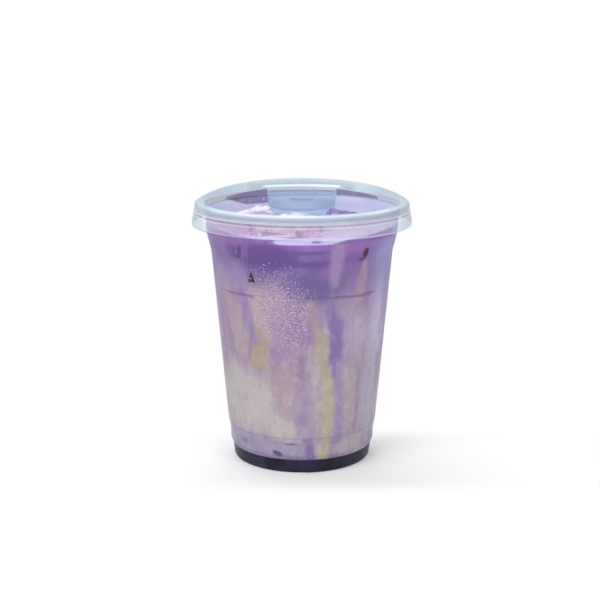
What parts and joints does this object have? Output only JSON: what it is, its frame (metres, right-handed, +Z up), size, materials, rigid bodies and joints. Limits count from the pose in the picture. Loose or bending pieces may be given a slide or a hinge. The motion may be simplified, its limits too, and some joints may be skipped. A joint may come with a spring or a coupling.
{
  "type": "iced ube latte",
  "caption": "Iced ube latte in a clear tapered takeaway cup: marbled purple and cream milk drink over ice, closed by a clear press-on sipping lid with a raised lip.",
  "frame": {"origin": "on the resting plane, under the middle of the cup's foot", "axes": "+Z up along the cup's axis, +Y towards the lid's raised drinking lip, -Y the front, +X to the right seen from the front"},
  "size_m": [0.1014, 0.1014, 0.1253],
  "materials": {
    "cup_plastic": "clear gloss PET plastic",
    "lid_plastic": "clear gloss PET plastic with a faint blue cast",
    "latte": "wet milk drink marbled from deep violet at the top to grey cream below",
    "ube_syrup": "dense dark violet syrup",
    "ice": "melting ice, clouded by milk"
  },
  "bodies": {
    "root": {"cup": "cup_plastic", "lid": "lid_plastic", "latte": "latte", "ube_syrup": "ube_syrup", "ice_left": "ice", "ice_middle": "ice", "ice_right": "ice", "ice_front": "ice"}
  },
  "joints": []
}
